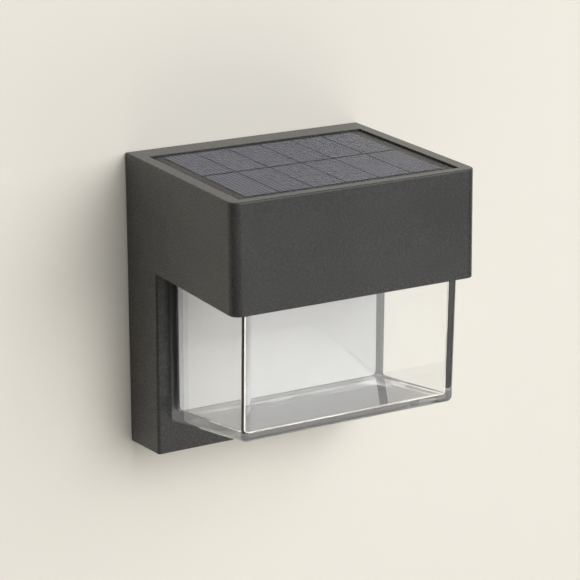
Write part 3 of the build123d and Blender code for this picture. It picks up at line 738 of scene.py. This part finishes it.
def lens_hollow(s, head):
    """Inside of the lens, open at the top, with a floor that rises towards the front."""
    half, front, back = LENS_HIGH.x - s.wall, LENS_LOW.y + s.wall, LENS_HIGH.y - s.wall
    foot_y, foot_z = lens_foot(s, head)
    over = LENS_HIGH.z + PAST_TOP

    def floor(y):
        return foot_z + s.floor - (y - foot_y) * math.tan(s.floor_slope)

    front_low = front + (head - floor(front)) * math.tan(s.draft)
    hollow = prism([(back, over), (front, over), (front, head), (front_low, floor(front_low)),
                    (back, floor(back))], half)
    below_neck = (head + foot_z) / 2
    round_edges(hollow, s.inner_radius, CORNER_STEPS,
                lambda a, b: min(a.z, b.z) < over - NEAR and (near(a.x, b.x) or max(a.z, b.z) < below_neck))
    return hollow


class SOLARLIGHT_OT_lens(bpy.types.Operator):
    """Models the clear lens: a hollow box with a floor that rises to the front and a neck in the head"""
    bl_idname = "solarlight.lens"
    bl_label = "Lens"

    def execute(self, context):
        s = context.scene.solarlight_lens
        head = context.scene.solarlight_housing.head_bottom
        body = carve(lens_outside(s, head), [lens_hollow(s, head)])
        lens = add_piece("lens_body", body, "clear_moulding", "lamp", "lens")
        lens.data.materials.append(bpy.data.materials["lens_back_paint"])
        for face in lens.data.polygons:
            if face.normal.y > 0 and near(face.center.y, LENS_HIGH.y):
                face.material_index = 1
        return {"FINISHED"}


class SOLARLIGHT_OT_panel(bpy.types.Operator):
    """Models the satin sheet over the solar cells, with rounded corners and edges"""
    bl_idname = "solarlight.panel"
    bl_label = "Panel sheet"

    def execute(self, context):
        s = context.scene.solarlight_panel
        top = GLASS_HIGH.z
        sheet = slab(GLASS_HIGH.x - s.shrink, GLASS_LOW.y, GLASS_HIGH.y, GLASS_LOW.z + s.lift, top)
        round_edges(sheet, s.corner, CORNER_STEPS, lambda a, b: near(a.x, b.x) and near(a.y, b.y))
        round_edges(sheet, s.edge, SHEET_EDGE_STEPS, lambda a, b: near(a.z, top) and near(b.z, top))
        add_piece("panel_cover_sheet", sheet, "panel_sheet", "lamp", "solar_glass")
        return {"FINISHED"}


class SOLARLIGHT_OT_button(bpy.types.Operator):
    """Models the rubber button: a cap with a finger dish, its flange and its stem"""
    bl_idname = "solarlight.button"
    bl_label = "Button"

    def execute(self, context):
        s = context.scene.solarlight_button
        radius = context.scene.solarlight_housing.button_radius
        low, top = BUTTON_LOW.z, BUTTON_HIGH.z
        flange_top = top - s.stem_rise
        flange_low = flange_top - s.flange_height
        dish, rim = [], []
        for step in range(CORNER_STEPS + 1):
            share = step / CORNER_STEPS
            turn = share * math.pi / 2
            dish.append((s.dish_radius * share, low + s.dish * (1 - share ** 2)))
            rim.append((radius - s.round * (1 - math.sin(turn)), low + s.round * (1 - math.cos(turn))))
        outline = dish + rim + [(radius, flange_low), (s.flange, flange_low), (s.flange, flange_top),
                                (s.stem, flange_top), (s.stem, top), (0, top)]
        cap = turned(outline, BUTTON_Y, BUTTON_STEPS)
        add_piece("button_cap", cap, "black_rubber", "button", "power_button")
        return {"FINISHED"}


def stage_wall(s):
    """Wall with a hole where the light covers it, so that the light's back can be seen from behind."""
    wall = bmesh.new()
    bmesh.ops.create_grid(wall, x_segments=1, y_segments=1, size=s.reach)
    bmesh.ops.rotate(wall, verts=wall.verts, matrix=Matrix.Rotation(math.pi / 2, 3, "X"))
    bmesh.ops.translate(wall, verts=wall.verts, vec=(0, s.wall_gap, s.reach - s.floor_drop))
    low, high = -s.hole_drop, s.hole_top
    cuts = [((x, 0, 0), (1, 0, 0)) for x in (-s.hole_half, s.hole_half)]
    cuts += [((0, 0, z), (0, 0, 1)) for z in (low, high)]
    for point, way in cuts:
        bmesh.ops.bisect_plane(wall, geom=wall.verts[:] + wall.edges[:] + wall.faces[:], dist=MERGED,
                               plane_co=point, plane_no=way)
    middles = {face: face.calc_center_median() for face in wall.faces}
    covered = [face for face, at in middles.items() if abs(at.x) < s.hole_half and low < at.z < high]
    bmesh.ops.delete(wall, geom=covered, context="FACES")
    return wall


def stage_floor(s):
    """Floor that meets the wall."""
    floor = bmesh.new()
    bmesh.ops.create_grid(floor, x_segments=1, y_segments=1, size=s.reach)
    bmesh.ops.translate(floor, verts=floor.verts, vec=(0, s.wall_gap - s.reach, -s.floor_drop))
    return floor


def add_lamp(context, name, energy, size, spot):
    """Soft square lamp that points at the light and isn't seen by the camera."""
    light = bpy.data.lights.new(name, "AREA")
    light.energy = energy
    light.size = size
    lamp = bpy.data.objects.new(name, light)
    lamp.location = spot
    lamp.rotation_euler = (-lamp.location).to_track_quat("-Z", "Y").to_euler()
    lamp.visible_camera = False
    context.scene.collection.objects.link(lamp)


def add_camera(context, s):
    """Camera at the photograph's viewing angle."""
    view = bpy.data.cameras.new("photo_camera")
    view.sensor_width = SENSOR_WIDTH
    view.lens = s.lens
    camera = bpy.data.objects.new("photo_camera", view)
    camera.location = s.eye
    towards = (Vector(s.aim) - Vector(s.eye)).to_track_quat("-Z", "Y")
    camera.rotation_euler = (towards @ Quaternion((0, 0, 1), s.roll)).to_euler()
    context.scene.collection.objects.link(camera)
    context.scene.camera = camera


class SOLARLIGHT_OT_stage(bpy.types.Operator):
    """Builds the wall, the floor, the lamps, the surroundings and the camera"""
    bl_idname = "solarlight.stage"
    bl_label = "Stage"

    def execute(self, context):
        s = context.scene.solarlight_stage
        boards = (("stage_wall", stage_wall(s), s.wall), ("stage_floor", stage_floor(s), s.floor))
        for name, made, tint in boards:
            board = as_object(name, made)
            board.data.materials.append(stage_paint(name + "_paint", tint))

        add_lamp(context, "key_lamp", s.key, s.key_size, s.key_place)
        add_lamp(context, "fill_lamp", s.fill, s.fill_size, s.fill_place)
        add_lamp(context, "rear_lamp", s.rear, s.rear_size, s.rear_place)
        world = bpy.data.worlds.new("soft_surroundings")
        world.use_nodes = True
        feed(world.node_tree.nodes["Background"], {"Color": rgba(s.world_tint), "Strength": s.world})
        context.scene.world = world
        context.scene.view_settings.view_transform = "Standard"
        add_camera(context, s)
        return {"FINISHED"}


GROUPS = {
    "solarlight_housing": LightHousingSizes,
    "solarlight_lens": LightLensSizes,
    "solarlight_panel": LightPanelSizes,
    "solarlight_button": LightButtonSizes,
    "solarlight_finishes": LightFinishes,
    "solarlight_stage": LightStage,
}
STEPS = (SOLARLIGHT_OT_finishes, SOLARLIGHT_OT_housing, SOLARLIGHT_OT_lens, SOLARLIGHT_OT_panel,
         SOLARLIGHT_OT_button, SOLARLIGHT_OT_stage)


class SOLARLIGHT_PT_panel(bpy.types.Panel):
    """Lists the steps and the values that they use"""
    bl_idname = "SOLARLIGHT_PT_panel"
    bl_label = "Solar wall light"
    bl_space_type = "VIEW_3D"
    bl_region_type = "UI"
    bl_category = "Solar light"

    def draw(self, context):
        for step in STEPS:
            self.layout.operator(step.bl_idname)
        for values in GROUPS:
            self.layout.label(text=values)
            group = getattr(context.scene, values)
            for name in group.bl_rna.properties.keys():
                if name not in ("rna_type", "name"):
                    self.layout.prop(group, name)


def register():
    """Registers the classes and hangs the values on the scene."""
    for made in (*GROUPS.values(), *STEPS, SOLARLIGHT_PT_panel):
        bpy.utils.register_class(made)
    for name, group in GROUPS.items():
        setattr(bpy.types.Scene, name, PointerProperty(type=group))


def unregister():
    """Takes the values off the scene and the classes out again."""
    for name in GROUPS:
        delattr(bpy.types.Scene, name)
    for made in reversed((*GROUPS.values(), *STEPS, SOLARLIGHT_PT_panel)):
        bpy.utils.unregister_class(made)


def main():
    """Builds the light on its stage."""
    register()
    bpy.ops.solarlight.finishes()
    bpy.ops.solarlight.housing()
    bpy.ops.solarlight.lens()
    bpy.ops.solarlight.panel()
    bpy.ops.solarlight.button()
    bpy.ops.solarlight.stage()


if __name__ == "__main__":
    main()
